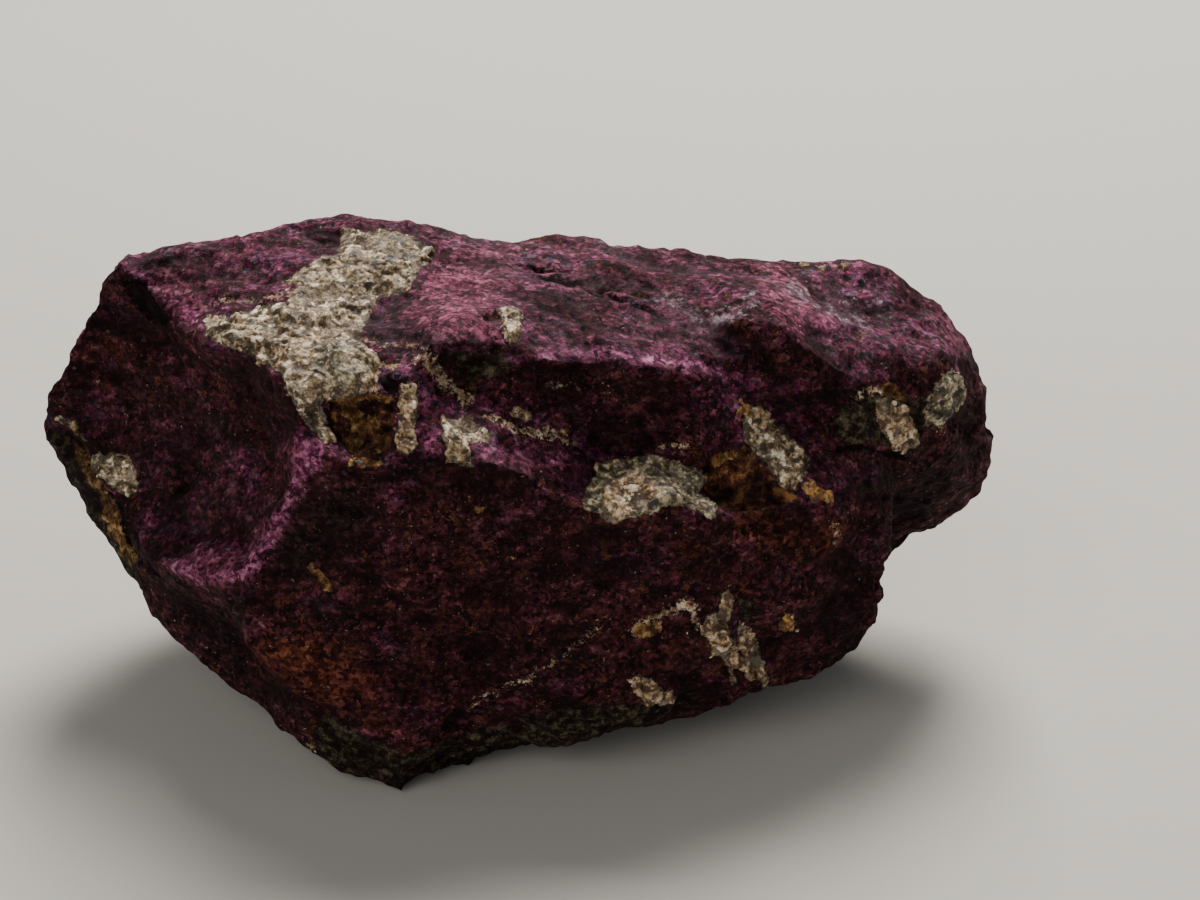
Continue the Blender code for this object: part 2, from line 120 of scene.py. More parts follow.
# The stone: one lump of purpurite with quartz, mica, feldspar and iron stain grown
# into it. It is the CAD solid's surface, refined and given its fine breakage.
SUBDIVISIONS = 2
SMOOTH_ROUNDS = 2
CREASE = math.radians(30)    # edges sharper than this stay sharp
FEATHER = 6.0          # half width of a marking's soft edge, in photograph points
SOFT_FEATHER = {"pink": 16.0, "stain": 24.0, "dark_and_painted_shade": 22.0, "painted_highlight": 9.0, "painted_glint": 10.0}
MARKS = [
    # area markings on the side that the photograph shows: mineral, stain, painted shade or painted highlight,
    # and outline
    ("quartz", [(342, 226), (362, 230), (385, 228), (410, 234), (436, 247), (430, 262), (418, 270),
                (410, 288), (392, 294), (376, 296), (370, 312), (362, 325), (360, 340), (372, 352),
                (384, 365), (376, 382), (372, 392), (350, 394), (328, 396), (322, 404), (326, 418),
                (336, 438), (326, 440), (310, 428), (298, 412), (288, 396), (284, 380), (276, 368),
                (262, 362), (240, 352), (222, 346), (206, 332), (206, 322), (226, 316), (246, 312),
                (262, 304), (290, 302), (300, 288), (282, 284), (300, 272), (318, 262), (334, 250)]),
    ("rust", [(326, 398), (345, 396), (372, 394), (390, 396), (394, 412), (391, 430), (389, 448),
              (384, 462), (375, 470), (360, 466), (350, 455), (346, 442), (338, 430), (330, 418)]),
    ("cream", [(401, 384), (410, 380), (417, 392), (416, 410), (414, 430), (417, 442), (410, 456),
               (397, 451), (394, 436), (399, 420), (399, 400)]),
    ("quartz", [(440, 416), (455, 418), (470, 418), (480, 428), (490, 432), (490, 442), (478, 442),
                (466, 446), (472, 458), (474, 468), (462, 470), (456, 464), (448, 462)]),
    ("quartz", [(500, 310), (512, 308), (524, 312), (520, 325), (518, 340), (510, 346), (504, 335)]),
    ("nodule", [(590, 478), (600, 464), (612, 456), (630, 456), (650, 454), (670, 458), (684, 464),
                (698, 470), (704, 480), (702, 492), (712, 500), (722, 508), (712, 518), (698, 512),
                (684, 508), (668, 506), (650, 510), (640, 516), (622, 518), (618, 526), (606, 524),
                (600, 514), (586, 510), (582, 500)]),
    ("cream", [(606, 486), (622, 474), (648, 476), (658, 488), (650, 500), (636, 508), (618, 520),
               (606, 514)]),
    ("rust", [(700, 470), (712, 458), (728, 450), (748, 446), (760, 462), (772, 478), (790, 488),
              (800, 498), (780, 506), (760, 512), (735, 508), (712, 502)]),
    ("quartz", [(746, 412), (760, 404), (770, 411), (776, 424), (787, 427), (796, 438), (805, 449),
                (812, 458), (808, 472), (801, 482), (796, 490), (784, 486), (774, 474), (765, 462),
                (753, 450), (743, 436), (743, 420)]),
    ("yellow", [(731, 405), (741, 401), (752, 406), (750, 419), (737, 421)]),
    ("yellow", [(802, 484), (812, 480), (822, 486), (836, 492), (834, 499), (820, 501), (806, 500)]),
    ("olive", [(828, 430), (840, 412), (852, 398), (868, 390), (884, 390), (900, 398), (912, 400),
               (930, 392), (938, 402), (940, 426), (925, 430), (920, 445), (905, 450), (890, 448),
               (870, 442), (850, 445)]),
    ("nodule", [(312, 345), (336, 338), (358, 346), (370, 362), (372, 384), (350, 390), (326, 392),
                (314, 372)]),
    ("nodule", [(926, 400), (934, 384), (948, 372), (960, 378), (966, 392), (961, 404), (948, 412),
                (940, 424), (928, 428), (922, 414)]),
    ("cream", [(876, 400), (890, 397), (906, 404), (916, 424), (920, 442), (902, 450), (886, 442),
               (876, 422)]),
    ("olive", [(862, 480), (874, 478), (880, 488), (870, 497), (860, 492)]),
    ("cream", [(722, 598), (728, 589), (735, 598), (733, 613), (727, 622), (728, 636), (735, 648),
               (743, 656), (738, 664), (733, 672), (737, 683), (731, 685), (728, 669), (720, 657),
               (711, 656), (710, 642), (703, 632), (702, 622), (710, 616), (718, 612)]),
    ("cream", [(738, 622), (746, 627), (753, 634), (761, 645), (765, 660), (766, 672), (769, 687),
               (762, 685), (756, 673), (748, 678), (741, 669), (748, 660), (744, 648), (738, 636)]),
    ("olive", [(738, 598), (750, 598), (758, 612), (752, 624), (742, 620)]),
    ("cream", [(628, 680), (640, 675), (655, 682), (660, 694), (674, 693), (677, 700), (660, 707),
               (645, 702), (634, 693)]),
    ("yellow", [(782, 608), (790, 616), (798, 630), (784, 632), (776, 624)]),
    ("quartz", [(86, 462), (96, 456), (112, 452), (130, 456), (136, 472), (138, 490), (124, 494),
                (110, 486), (96, 476)]),
    ("olive", [(45, 430), (60, 434), (78, 448), (93, 480), (118, 515), (126, 552), (140, 582),
               (118, 575), (88, 530), (66, 490), (46, 455)]),
    ("black", [(122, 282), (140, 276), (150, 290), (160, 310), (172, 318), (160, 328), (140, 315)]),
    ("olive", [(448, 352), (480, 350), (502, 350), (514, 366), (500, 376), (480, 380), (466, 390)]),
    ("black", [(380, 385), (388, 376), (398, 380), (400, 390), (392, 396), (383, 393)]),
    ("black", [(526, 267), (540, 270), (556, 273), (572, 281), (586, 286), (570, 287), (548, 280)]),
    ("stain", [(250, 632), (300, 628), (340, 650), (380, 690), (400, 730), (380, 735), (330, 705),
               (290, 690), (262, 664)]),
    # painted shade, with some dark mineral: beside the ridge at the scoop, in the undercut at the left and on
    # the right lobe
    ("dark_and_painted_shade", [(292, 505), (330, 488), (378, 480), (372, 538), (330, 566), (292, 592), (266, 580)]),
    ("dark_and_painted_shade", [(120, 520), (150, 566), (200, 592), (236, 600), (250, 650), (300, 710), (240, 680),
              (160, 610)]),
    ("dark_and_painted_shade", [(908, 468), (940, 462), (966, 466), (958, 486), (936, 502), (912, 522), (898, 515),
              (900, 484)]),
    ("stain", [(745, 480), (800, 505), (850, 520), (840, 560), (780, 560), (730, 530)]),
    ("olive", [(320, 716), (345, 724), (400, 752), (450, 738), (560, 708), (620, 703), (700, 698),
               (700, 711), (600, 728), (500, 760), (400, 788), (330, 768), (312, 745)]),
    ("pink", [(440, 245), (480, 248), (520, 252), (515, 275), (490, 285), (505, 300), (500, 330),
              (480, 345), (450, 340), (425, 330), (405, 310), (420, 290)]),
    ("pink", [(765, 260), (782, 262), (790, 280), (812, 300), (830, 320), (800, 335), (775, 320),
              (760, 300)]),
    ("pink", [(150, 268), (190, 270), (200, 300), (190, 325), (165, 300)]),
    # the scoop's lip: pink painted highlight on its upturned faces
    ("pink", [(283, 500), (292, 470), (284, 450), (296, 438), (322, 452), (306, 470), (288, 520),
              (268, 552), (240, 582), (205, 584), (168, 570), (200, 556), (240, 556), (262, 530)]),
    ("pink", [(930, 300), (960, 330), (972, 352), (950, 350), (935, 330)]),
]
LINES = [
    # thin markings: mineral, stain, painted highlight, painted glint or painted shade, half width and run
    ("tan", 7.0, [(78, 450), (98, 490), (118, 530), (130, 560)]),
    ("tan", 5.0, [(742, 664), (750, 674)]),
    ("tan", 4.0, [(370, 420), (377, 436), (376, 448)]),
    ("tan", 6.0, [(638, 630), (656, 628)]),
    ("tan", 4.0, [(888, 394), (906, 398)]),
    ("tan", 6.5, [(346, 408), (354, 414), (357, 426), (352, 438)]),
    ("tan", 3.5, [(330, 398), (360, 397), (392, 398)]),
    ("tan", 4.0, [(352, 456), (366, 463), (380, 462)]),
    ("tan", 3.0, [(716, 466), (724, 458), (734, 452)]),
    ("tan", 2.5, [(470, 500), (478, 512), (486, 508)]),
    ("tan", 3.0, [(310, 566), (318, 578), (330, 588)]),
    ("vein", 2.2, [(430, 356), (437, 366), (442, 376), (452, 384), (460, 394), (466, 404)]),
    # painted highlights along the ridge by the quartz's tail and along the scoop's lower lip
    ("painted_highlight", 7.0, [(322, 440), (304, 458), (294, 486), (282, 520), (264, 550), (242, 576)]),
    ("painted_highlight", 5.5, [(242, 574), (205, 578), (168, 562)]),
    ("painted_highlight", 7.0, [(298, 440), (310, 450), (316, 462)]),
    # painted shade, with some dark mineral: across the scoop and along the ledge above the shelf
    ("dark_and_painted_shade", 7.0, [(140, 395), (190, 405), (240, 440)]),
    ("dark_and_painted_shade", 5.0, [(135, 450), (190, 475), (240, 500)]),
    ("dark_and_painted_shade", 5.0, [(596, 326), (650, 334), (700, 342), (760, 346)]),
    # the shelf: pink painted highlight on an upturned slope
    ("pink", 6.0, [(480, 455), (530, 462), (580, 468)]),
    # painted highlights along the ledge's edge, the shelf's edge and the scoop's upper rim
    ("painted_highlight", 4.0, [(440, 345), (470, 352), (520, 360), (560, 352), (601, 352), (650, 358), (700, 368),
                    (735, 380)]),
    ("painted_highlight", 3.0, [(432, 452), (480, 448), (520, 452), (560, 458)]),
    ("painted_highlight", 4.0, [(128, 268), (150, 282), (180, 306), (214, 330), (246, 350), (275, 368)]),
    # painted glints: silvery lilac streaks on the top
    ("painted_glint", 7.0, [(716, 322), (732, 316), (750, 306)]),
    ("painted_glint", 6.0, [(790, 286), (808, 297), (828, 310), (846, 318)]),
    ("painted_glint", 5.0, [(850, 304), (864, 328)]),
    ("painted_glint", 5.0, [(664, 300), (690, 312), (706, 322)]),
    ("painted_glint", 3.0, [(870, 300), (890, 320)]),
    ("vein", 0.8, [(218, 302), (240, 299), (262, 299), (284, 296), (300, 292)]),
    ("vein", 1.0, [(358, 338), (372, 340), (382, 344), (398, 340), (412, 342), (428, 347)]),
    ("vein", 3.5, [(418, 358), (430, 366), (440, 376), (446, 386), (460, 392), (470, 398)]),
    ("vein", 2.0, [(376, 390), (377, 376), (385, 367), (396, 366)]),
    ("vein", 1.6, [(486, 417), (500, 422), (513, 427), (532, 431), (548, 430), (566, 434)]),
    ("vein", 1.4, [(515, 433), (540, 434), (558, 438), (578, 442)]),
    ("vein", 0.6, [(400, 341), (415, 344), (430, 348)]),
    ("cream", 5.0, [(518, 412), (528, 416)]),
    ("cream", 6.0, [(728, 598), (724, 612), (716, 628), (724, 646), (733, 664)]),
    ("cream", 5.0, [(746, 632), (755, 650), (760, 668)]),
    ("vein", 1.2, [(550, 388), (575, 388)]),
    ("vein", 1.2, [(660, 447), (685, 446)]),
    ("rust", 4.0, [(486, 318), (498, 318)]),
    ("black", 1.8, [(586, 287), (600, 292), (630, 302), (655, 314)]),
    ("rust", 2.5, [(600, 286), (625, 290), (648, 296)]),
    ("yellow", 2.5, [(802, 261), (820, 265), (845, 270)]),
    ("vein", 2.5, [(856, 396), (870, 390), (884, 391)]),
    ("vein", 3.0, [(938, 386), (950, 375), (962, 384), (958, 402)]),
    ("vein", 2.5, [(936, 404), (943, 414), (938, 428)]),
    ("rust", 5.0, [(886, 388), (900, 392)]),
    # painted shadow: a black line under the olive cluster
    ("black", 2.5, [(840, 449), (862, 446), (880, 452), (902, 456)]),
    ("vein", 2.0, [(633, 628), (645, 622), (660, 618), (672, 612), (685, 606), (692, 612), (698, 626)]),
    ("vein", 4.0, [(684, 604), (692, 610)]),
    ("vein", 0.3, [(470, 712), (480, 700), (498, 690), (512, 684), (530, 678), (548, 668), (565, 656),
                    (580, 644), (596, 628), (604, 618)]),
    ("quartz", 3.0, [(56, 420), (66, 422), (78, 434), (86, 440)]),
    # painted shade: a black line along the crevice at the left end
    ("black", 2.2, [(62, 434), (80, 448), (95, 478), (120, 512), (128, 548), (158, 578)]),
    ("vein", 1.4, [(312, 742), (318, 756), (330, 765)]),
    ("rust", 3.0, [(444, 508), (460, 526)]),
    ("yellow", 2.0, [(352, 461), (363, 468)]),
    ("rust", 3.0, [(316, 574), (328, 586)]),
    ("rust", 2.5, [(340, 402), (347, 414)]),
    ("vein", 1.0, [(832, 524), (838, 534), (836, 542)]),
]
PATCHES = [
    # patches on the sides that the photograph doesn't show: mineral, middle and radius in millimetres
    ("quartz", (-15, 14, 22), 3.4), ("quartz", (-11.5, 13.5, 17), 2.6), ("cream", (-17, 13.5, 18.5), 1.6),
    ("cream", (5, 14, 20), 1.7), ("nodule", (9, 13, 17.5), 2.3), ("rust", (12.5, 13, 19), 2.2),
    ("olive", (22, 12.5, 15), 3.0), ("cream", (24, 12, 18), 1.4), ("rust", (-24, 11, 17), 2.4),
    ("olive", (-27, 8, 13), 2.8), ("quartz", (0, 12.5, 8), 2.2), ("stain", (6, 11, 8), 6.0),
    ("stain", (-16, 11, 8), 6.0), ("rust", (18, 9, 8), 2.0), ("cream", (-4, 14, 23), 1.2),
    ("stain", (20, 12, 22), 5.0), ("olive", (26.5, 5, 9), 2.2), ("pink", (-8, 13, 26), 4.0),
    ("pink", (14, 13, 25), 4.5), ("olive", (-18, -2, 3.5), 3.0), ("rust", (-24, -1, 8), 2.2),
    ("cream", (16, -1, 3), 1.8), ("olive", (4, 6, 0.5), 7.0), ("stain", (-10, 2, 0.5), 6.0),
]
KINDS = ("quartz", "cream", "nodule", "rust", "olive", "yellow", "black", "stain", "pink", "painted_highlight",
         "painted_glint", "dark_and_painted_shade", "vein", "tan")
PALE = ("quartz", "cream", "nodule", "yellow")
MERGE_METRES = 1e-6      # vertices nearer than this are one
FACING_FROM = -0.05      # the photograph's markings fade in between these two turns to the camera
FACING_FULL = 0.1
PATCH_FEATHER = 0.7      # half width of the soft edge of a hidden side's patch, in millimetres
PATCH_SLACK = 0.72       # share of the run along the cleavage that isn't counted, so that a patch is long
RIPPLES = ((3.1, 1.0), (1.2, 0.5))       # noises that bend a patch's edge: millimetres and share
HIDDEN_STAIN = 0.6       # a stain on a hidden side stays thin
ALONG = Vector((0.955, -0.27, -0.12)).normalized()       # the cleavage's run
ACROSS = ALONG.cross(Vector((0, 0, 1))).normalized()
OVER = ALONG.cross(ACROSS)

stone_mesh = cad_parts["purpurite_stone"].data.copy()
bm = bmesh.new()
bm.from_mesh(stone_mesh)
bmesh.ops.remove_doubles(bm, verts=bm.verts, dist=MERGE_METRES)
bmesh.ops.scale(bm, vec=(1 / MM, 1 / MM, 1 / MM), verts=bm.verts)
for _ in range(SUBDIVISIONS):
    bmesh.ops.subdivide_edges(bm, edges=bm.edges, cuts=1, use_grid_fill=True)
    creases = {edge for edge in bm.edges if edge.calc_face_angle(0) > CREASE}
    for _ in range(SMOOTH_ROUNDS):
        softened = {}
        for vert in bm.verts:
            lines = [edge for edge in vert.link_edges if edge in creases]
            if len(lines) in (0, 2):
                near = [edge.other_vert(vert).co for edge in lines or vert.link_edges]
                softened[vert] = vert.co.lerp(sum(near, Vector()) / len(near), 0.5)
        for vert, spot in softened.items():
            vert.co = spot
bmesh.ops.triangulate(bm, faces=bm.faces)
bm.normal_update()

points = np.array([v.co[:] for v in bm.verts])
normals = np.array([v.normal[:] for v in bm.verts])
seen = photo_points(points)
to_eye = np.array(EYE) - points
facing = np.einsum("ij,ij->i", normals, to_eye) / np.linalg.norm(to_eye, axis=1)
shown = np.clip((facing - FACING_FROM) / (FACING_FULL - FACING_FROM), 0, 1)
amount = {kind: np.zeros(len(points)) for kind in KINDS}


def mark(kind, inside):
    """Lays a marking where the photograph shows the stone. Inside is the depth past its edge."""
    cover = np.clip(0.5 + inside / SOFT_FEATHER.get(kind, FEATHER) / 2, 0, 1)
    amount[kind] = np.maximum(amount[kind], cover * shown)


for kind, outline in MARKS:
    gap = line_gap(seen, outline, closed=True)
    mark(kind, np.where(within(seen, outline), gap, -gap))
for kind, half, run in LINES:
    mark(kind, half - line_gap(seen, run, closed=False))
ripple = np.array([sum(share * noise.noise(Vector(p) / size) for size, share in RIPPLES) for p in points])
lengthwise = points @ np.array(ALONG)
for kind, middle, radius in PATCHES:
    away = points - np.array(middle)
    along = lengthwise - Vector(middle).dot(ALONG)
    far = np.sqrt(np.maximum(0, (away ** 2).sum(axis=1) - PATCH_SLACK * along ** 2))
    inside = radius * (0.8 + 0.9 * ripple) - far
    most = HIDDEN_STAIN if kind == "stain" else 1.0
    amount[kind] = np.maximum(amount[kind], np.clip(0.5 + inside / PATCH_FEATHER / 2, 0, most))
layers = {kind: bm.verts.layers.float.new(kind) for kind in KINDS}
for kind, layer in layers.items():
    for vert, value in zip(bm.verts, amount[kind]):
        vert[layer] = value
pale_bm = bm.copy()      # the pale grains are cut from it further down

# The skin's fine breakage, in millimetres: cleavage fibres, small flat chips, terraces,
# grit and pits. The numbered vectors only keep one noise apart from another.
FIBRE_LONG = 1.8
FIBRE_WIDE = 0.8
FIBRE_HIGH = 0.1
CHIP_LONG = 2.8
CHIP_WIDE = 1.5
CHIP_HIGH = 0.38
TERRACE_LONG = 6.5
TERRACE_WIDE = 2.6
TERRACE_HIGH = 0.14
TERRACE_COUNT = 3.4      # steps in one swing of the noise
TERRACE_RISER = 0.2      # share of a step that its riser takes
GRIT_SIZE = 0.7
GRIT_HIGH = 0.12
PIT_SIZE = 1.3
PIT_DEEP = 0.45
PIT_RARE = 0.3           # the noise makes a pit above this
WAVE_SIZE = 2.6
WAVE_HIGH = 0.2
RUST_DEEP = 0.35         # rust and black sit in pockets this deep
BLACK_DEEP = 0.3
RUST_GRIT = 0.8
POCKET_FROM = 0.4        # a pocket starts and is full at these amounts of its marking
POCKET_FULL = 0.7
SATIN_LONG = 7.0         # patches of painted satin sheen on the faces that turn up
SATIN_WIDE = 3.4
SATIN_SPREAD = 0.7
REST_FLAT = 0.05         # what starts lower than this rests on the table, and no other skin
REST_CLEAR = 0.06        # comes nearer to the table than this


def limited(value, low, high):
    """How far a value is from low to high, as 0 to 1."""
    return min(1.0, max(0.0, (value - low) / (high - low)))


def in_cleavage(place, size_long, size_wide):
    """A place measured in sizes along and across the cleavage."""
    return Vector((place.dot(ALONG) / size_long, place.dot(ACROSS) / size_wide,
                   place.dot(OVER) / size_wide))


def small_breaks(place, pink):
    """How far the fine breakage moves a point of the skin out. It is calmer where the skin is pink."""
    fibre = noise.noise(in_cleavage(place, FIBRE_LONG, FIBRE_WIDE))
    steps = noise.noise(in_cleavage(place, TERRACE_LONG, TERRACE_WIDE) + Vector((3, 8, 1))) * TERRACE_COUNT
    riser = min(1.0, (steps - math.floor(steps)) / TERRACE_RISER)
    terrace = math.floor(steps) + riser - 0.7
    cell = in_cleavage(place, CHIP_LONG, CHIP_WIDE)
    seed = noise.voronoi(cell)[1][0]
    chip = noise.noise_vector(seed * 5.3).dot(cell - seed)
    grit = noise.noise(place / GRIT_SIZE + Vector((2, 6, 3)))
    pit = max(0.0, noise.noise(place / PIT_SIZE + Vector((7, 1, 9))) - PIT_RARE)
    rise = FIBRE_HIGH * fibre + GRIT_HIGH * grit + CHIP_HIGH * chip - PIT_DEEP * pit + TERRACE_HIGH * terrace
    return rise * (1 - 0.5 * min(1.0, pink * 1.4))


def wave(place):
    """The longer swell under the fine breakage."""
    return WAVE_HIGH * noise.noise(place / WAVE_SIZE + Vector((5, 5, 5)))


# painted sheen: how far the skin turns up, in patches
painted_top_sheen = bm.verts.layers.float.new("painted_top_sheen")
# painted shade: how low the fine breakage sits
painted_hollow_shade = bm.verts.layers.float.new("painted_hollow_shade")
moves = []
for vert in bm.verts:
    spot = vert.co
    breaks = small_breaks(spot, vert[layers["pink"]])
    # painted shade: the lower the fine breakage sits, the more shade is painted there
    vert[painted_hollow_shade] = limited(0.5 - breaks * 1.5, 0, 1)
    grit = noise.noise(spot / RUST_GRIT + Vector((8, 6, 3)))
    pocket = limited(vert[layers["rust"]], POCKET_FROM, POCKET_FULL) * RUST_DEEP * (1 - grit)
    pocket += limited(vert[layers["black"]], POCKET_FROM, POCKET_FULL) * BLACK_DEEP
    # painted sheen: the more a face turns up, the more satin colour is painted on it
    satin_cell = Vector((spot.dot(ALONG) / SATIN_LONG, spot.dot(ACROSS) / SATIN_WIDE, 2))
    patchy = noise.noise(satin_cell) * SATIN_SPREAD
    upward = limited(vert.normal.z, 0.05, 0.8)
    vert[painted_top_sheen] = limited(upward * (0.85 + patchy) + 0.16 * patchy, 0, 1)
    moves.append(vert.normal * (breaks + wave(spot) - pocket))
for vert, move in zip(bm.verts, moves):
    lowest = 0.0 if vert.co.z < REST_FLAT else REST_CLEAR
    vert.co += move
    vert.co.z = max(vert.co.z, lowest)
bmesh.ops.scale(bm, vec=(MM, MM, MM), verts=bm.verts)
bm.to_mesh(stone_mesh)
bm.free()
stone_mesh.shade_smooth()


# What both materials are made with
def summed(tree, base, *parts):
    """A base number and patterns added up, each pattern times its share."""
    total = base
    for pattern, share in parts:
        total = add(tree, "Math", {0: pattern, 1: share, 2: total}, operation="MULTIPLY_ADD")
    return total


def patches(tree, space, size_mm, detail, roughness, low, high):
    """Scattered patches: they start where a noise of this size passes low and are full at high."""
    cloud = add(tree, "TexNoise", {"Vector": space, "Scale": 1 / size_mm, "Detail": detail,
                                   "Roughness": roughness})
    return add(tree, "MapRange", {"Value": cloud, "From Min": low, "From Max": high})


def laid_over(tree, under, cover, strength, coat):
    """The colours under a coat, with the coat over them as far as its cover goes."""
    share = add(tree, "Math", {0: cover, 1: strength}, operation="MULTIPLY")
    return add(tree, "MixRGB", {"Fac": share, "Color1": under, "Color2": coat})


def leaning(tree, grains, middle, lean, relief, deep_mm):
    """A normal with fine relief, on which each grain leans its own way, so that single ones flash."""
    tilt = add(tree, "VectorMath", {0: grains, 1: (middle, middle, middle)}, operation="SUBTRACT")
    tilt = add(tree, "VectorMath", {0: tilt, "Scale": lean}, operation="SCALE")
    bump = add(tree, "Bump", {"Strength": 1.0, "Distance": deep_mm * MM, "Height": relief})
    tilted = add(tree, "VectorMath", {0: bump, 1: tilt}, operation="ADD")
    return add(tree, "VectorMath", {0: tilted}, operation="NORMALIZE")


# Purpurite, a manganese phosphate mineral, broken by hand and not polished. It is a streaky purple
# with a painted satin sheen where faces turn up, dull blackish brown on broken ends, painted shade in
# hollows and single flakes that flash. Iron stain, painted shade, highlights and glints lie over it.
purpurite = bpy.data.materials.new("purpurite")
purpurite.use_nodes = True
purple = purpurite.node_tree
CLEAVAGE_TURN = (0, 0.12, 0.275)         # turns the streaks to run about as the cleavage does
STREAK_SHAPE = (0.5, 1.2, 1.2)           # streaks are drawn 2.4 times as long as they are wide
FLAKE_SHAPE = (1.1, 1.9, 1.9)            # a flake is about 0.9 mm long and 0.5 mm wide
GRIT_GRAIN_MM = 0.2778
origin = add(purple, "TexCoord", output="Object")
to_mm = add(purple, "Mapping", {"Vector": origin, "Scale": (1 / MM, 1 / MM, 1 / MM)})
turned = add(purple, "Mapping", {"Vector": to_mm, "Rotation": CLEAVAGE_TURN})
streaks = add(purple, "Mapping", {"Vector": turned, "Scale": STREAK_SHAPE})
flaky = add(purple, "Mapping", {"Vector": turned, "Scale": FLAKE_SHAPE})
NOISES = (
    # name, space, millimetres, detail and roughness
    ("wide", streaks, 2.5, 4, 0.6),
    ("streak", streaks, 0.8333, 6, 0.7),
    ("mottle", to_mm, 1.1111, 6, 0.75),
    ("speck", to_mm, 0.2222, 4, 0.8),
    ("fleck", to_mm, 0.5882, 5, 0.75),
    ("ragged", to_mm, 0.6667, 6, 0.75),
    ("crumbly", to_mm, 0.3125, 5, 0.8),
    ("brassy", to_mm, 1.25, 6, 0.7),
)
patterns = {}
for name, space, size_mm, detail, roughness in NOISES:
    patterns[name] = add(purple, "TexNoise", {"Vector": space, "Scale": 1 / size_mm, "Detail": detail,
                                              "Roughness": roughness})
grit_grains = add(purple, "TexVoronoi", {"Vector": to_mm, "Scale": 1 / GRIT_GRAIN_MM}, "Color")
flakes = add(purple, "TexVoronoi", {"Vector": flaky, "Scale": 1.0}, "Color")
grain_shade = add(purple, "SeparateColor", {"Color": grit_grains}, "Red")
tone = summed(purple, 0.0, (patterns["streak"], 0.4), (patterns["mottle"], 0.2), (patterns["speck"], 0.25),
              (grain_shade, 0.15))
patterns["tone"] = tone
fleck = patterns["fleck"]

# The mineral's dull colours, with a painted satin sheen laid over the faces that turn up
WIDE_SPREAD = 3.2
WIDE_MIDDLE = 0.53
dull = add(purple, "ValToRGB", {"Fac": tone},
           stops=((0.4, "#070505"), (0.46, "#1b0c0e"), (0.52, "#34171b"), (0.58, "#53292f"),
                  (0.66, "#835256")))
# painted sheen: the lighter magenta colours painted where faces turn up
painted_sheen_colours = add(purple, "ValToRGB", {"Fac": tone},
            stops=((0.42, "#0e050a"), (0.465, "#301022"), (0.51, "#591c3e"), (0.56, "#8a3663"),
                   (0.64, "#c4789a")))
brown = add(purple, "ValToRGB", {"Fac": fleck},
            stops=((0.42, "#120806"), (0.52, "#38180f"), (0.62, "#6f3c26")))
smutty = add(purple, "ValToRGB", {"Fac": fleck}, stops=((0.4, "#070706"), (0.62, "#221c17")))
# painted sheen from the skin's layer, spread in wide patches
painted_sheen_here = add(purple, "Attribute", output="Fac", attribute_name="painted_top_sheen")
painted_top_light = summed(purple, -WIDE_SPREAD * WIDE_MIDDLE, (painted_sheen_here, 1.0), (patterns["wide"], WIDE_SPREAD))
painted_sheen_and_gloss = add(purple, "MapRange", {"Value": painted_top_light, "From Min": 0.1, "From Max": 1.15})
colour = laid_over(purple, dull, painted_sheen_and_gloss, 1.0, painted_sheen_colours)
SPREADS = (
    # patches all over the purple, the lowest first: space, millimetres, detail, roughness, where
    # they start and are full, what else they are limited to, strength and colour
    (to_mm, 3.7037, 6, 0.75, 0.5, 0.62, 1.0, 0.38, brown),
    (streaks, 2.381, 6, 0.8, 0.52, 0.62, 1.0, 0.72, smutty),
    (to_mm, 1.0, 5, 0.85, 0.585, 0.62, 1.0, 0.5, linear("#7a4a2c")),
    (streaks, 0.4545, 5, 0.8, 0.49, 0.42, painted_sheen_and_gloss, 0.9, linear("#190a10")),
    # painted glints: pale lilac flecks where the painted sheen is
    (flaky, 1.4286, 5, 0.8, 0.56, 0.63, painted_sheen_and_gloss, 0.36, linear("#a18bae")),
)
for space, size_mm, detail, roughness, low, high, limit, strength, coat in SPREADS:
    cover = patches(purple, space, size_mm, detail, roughness, low, high)
    cover = add(purple, "Math", {0: cover, 1: limit}, operation="MULTIPLY")
    colour = laid_over(purple, colour, cover, strength, coat)

